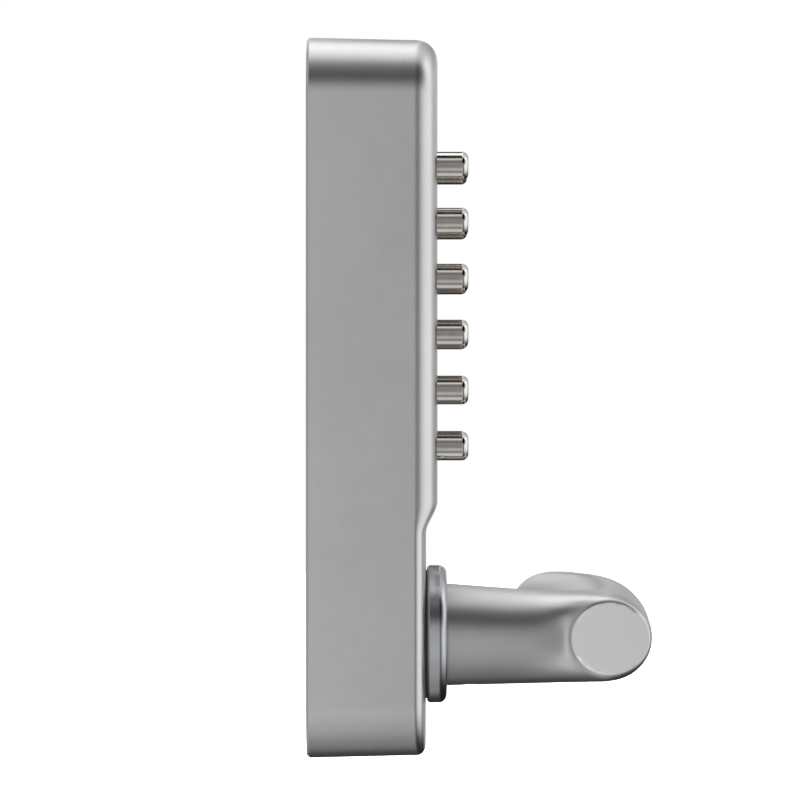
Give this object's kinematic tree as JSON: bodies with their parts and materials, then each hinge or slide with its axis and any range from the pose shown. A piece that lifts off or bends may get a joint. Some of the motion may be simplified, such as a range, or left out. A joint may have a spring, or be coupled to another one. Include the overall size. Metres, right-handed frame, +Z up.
{
  "type": "push-button door lock",
  "caption": "Push-button combination door lock unit: deep rounded metal case, two columns of chrome buttons, and a return-to-door lever handle on a round rose.",
  "frame": {"origin": "centre of the flat back face that meets the door", "axes": "+X to the right as one faces the door, the way the lever points; +Y into the door, so the front looks along -Y; +Z up along the case"},
  "size_m": [0.1506, 0.0937, 0.19],
  "materials": {
    "satin_zinc": "satin chrome plated zinc die-casting",
    "rose_steel": "darker satin plating",
    "chrome": "bright chrome plating",
    "spring_steel": "drawn spring wire",
    "plated_steel": "zinc plated pressed steel",
    "tumbler_brass": "plain pressed brass",
    "cast_zinc": "raw zinc die-casting",
    "black_nylon": "moulded black nylon",
    "dark_steel": "blackened steel"
  },
  "bodies": {
    "lock_case": {"front_case": "satin_zinc", "button_spring_01": "spring_steel", "button_spring_02": "spring_steel", "button_spring_03": "spring_steel", "button_spring_04": "spring_steel", "button_spring_05": "spring_steel", "button_spring_06": "spring_steel", "button_spring_07": "spring_steel", "button_spring_08": "spring_steel", "button_spring_09": "spring_steel", "button_spring_10": "spring_steel", "button_spring_11": "spring_steel", "button_spring_12": "spring_steel", "guide_plate": "plated_steel", "hold_spring": "spring_steel", "code_block": "cast_zinc", "return_spring_left": "spring_steel", "return_spring_right": "spring_steel", "tumbler_plate": "plated_steel", "stack_screw_1": "dark_steel", "stack_screw_2": "dark_steel", "stack_screw_3": "dark_steel", "stack_screw_4": "dark_steel", "back_plate": "plated_steel", "plate_screw_1": "plated_steel", "plate_screw_2": "plated_steel", "lever_rose": "rose_steel", "lever_bush": "black_nylon"},
    "button_01": {"button_01": "chrome", "code_tumbler_01": "tumbler_brass"},
    "button_02": {"button_02": "chrome", "code_tumbler_02": "tumbler_brass"},
    "button_03": {"button_03": "chrome", "code_tumbler_03": "tumbler_brass"},
    "button_04": {"button_04": "chrome", "code_tumbler_04": "tumbler_brass"},
    "button_05": {"button_05": "chrome", "code_tumbler_05": "tumbler_brass"},
    "button_06": {"button_06": "chrome", "code_tumbler_06": "tumbler_brass"},
    "button_07": {"button_07": "chrome", "code_tumbler_07": "tumbler_brass"},
    "button_08": {"button_08": "chrome", "code_tumbler_08": "tumbler_brass"},
    "button_09": {"button_09": "chrome", "code_tumbler_09": "tumbler_brass"},
    "button_10": {"button_10": "chrome", "code_tumbler_10": "tumbler_brass"},
    "button_11": {"button_11": "chrome", "code_tumbler_11": "tumbler_brass"},
    "button_12": {"button_12": "chrome", "code_tumbler_12": "tumbler_brass"},
    "lever": {"lever_handle": "satin_zinc", "lever_hub": "plated_steel", "drive_cam": "dark_steel", "hub_circlip": "dark_steel", "grub_screw": "dark_steel"},
    "code_slide": {"code_slide": "plated_steel"},
    "hold_plate": {"hold_plate": "plated_steel"}
  },
  "joints": [
    {"name": "button_01_press", "type": "slide", "parent": "lock_case", "child": "button_01", "axis": [0, 1, 0], "range_m": [0, 0.003], "stiffness_N_per_m": 1000, "springref_m": -0.001},
    {"name": "button_02_press", "type": "slide", "parent": "lock_case", "child": "button_02", "axis": [0, 1, 0], "range_m": [0, 0.003], "stiffness_N_per_m": 1000, "springref_m": -0.001},
    {"name": "button_03_press", "type": "slide", "parent": "lock_case", "child": "button_03", "axis": [0, 1, 0], "range_m": [0, 0.003], "stiffness_N_per_m": 1000, "springref_m": -0.001},
    {"name": "button_04_press", "type": "slide", "parent": "lock_case", "child": "button_04", "axis": [0, 1, 0], "range_m": [0, 0.003], "stiffness_N_per_m": 1000, "springref_m": -0.001},
    {"name": "button_05_press", "type": "slide", "parent": "lock_case", "child": "button_05", "axis": [0, 1, 0], "range_m": [0, 0.003], "stiffness_N_per_m": 1000, "springref_m": -0.001},
    {"name": "button_06_press", "type": "slide", "parent": "lock_case", "child": "button_06", "axis": [0, 1, 0], "range_m": [0, 0.003], "stiffness_N_per_m": 1000, "springref_m": -0.001},
    {"name": "button_07_press", "type": "slide", "parent": "lock_case", "child": "button_07", "axis": [0, 1, 0], "range_m": [0, 0.003], "stiffness_N_per_m": 1000, "springref_m": -0.001},
    {"name": "button_08_press", "type": "slide", "parent": "lock_case", "child": "button_08", "axis": [0, 1, 0], "range_m": [0, 0.003], "stiffness_N_per_m": 1000, "springref_m": -0.001},
    {"name": "button_09_press", "type": "slide", "parent": "lock_case", "child": "button_09", "axis": [0, 1, 0], "range_m": [0, 0.003], "stiffness_N_per_m": 1000, "springref_m": -0.001},
    {"name": "button_10_press", "type": "slide", "parent": "lock_case", "child": "button_10", "axis": [0, 1, 0], "range_m": [0, 0.003], "stiffness_N_per_m": 1000, "springref_m": -0.001},
    {"name": "button_11_press", "type": "slide", "parent": "lock_case", "child": "button_11", "axis": [0, 1, 0], "range_m": [0, 0.003], "stiffness_N_per_m": 1000, "springref_m": -0.001},
    {"name": "button_12_press", "type": "slide", "parent": "lock_case", "child": "button_12", "axis": [0, 1, 0], "range_m": [0, 0.003], "stiffness_N_per_m": 1000, "springref_m": -0.001},
    {"name": "lever_turn", "type": "hinge", "parent": "lock_case", "child": "lever", "pos_m": [0, 0, -0.0632], "axis": [0, 1, 0], "range_deg": [0, 50], "stiffness_Nm_per_rad": 1.3, "springref_deg": -22.92},
    {"name": "code_slide_lift", "type": "slide", "parent": "lock_case", "child": "code_slide", "axis": [0, 0, 1], "range_m": [0, 0.0035], "deforming": ["return_spring_left", "return_spring_right"]},
    {"name": "hold_plate_lift", "type": "slide", "parent": "lock_case", "child": "hold_plate", "axis": [0, 0, 1], "range_m": [0, 0.001], "deforming": ["hold_spring"]}
  ],
  "couplings": [
    {"joint": "code_slide_lift", "follows": "lever_turn", "m_per_rad": 0.004},
    {"joint": "hold_plate_lift", "follows": "lever_turn", "m_per_rad": 0.00114}
  ]
}
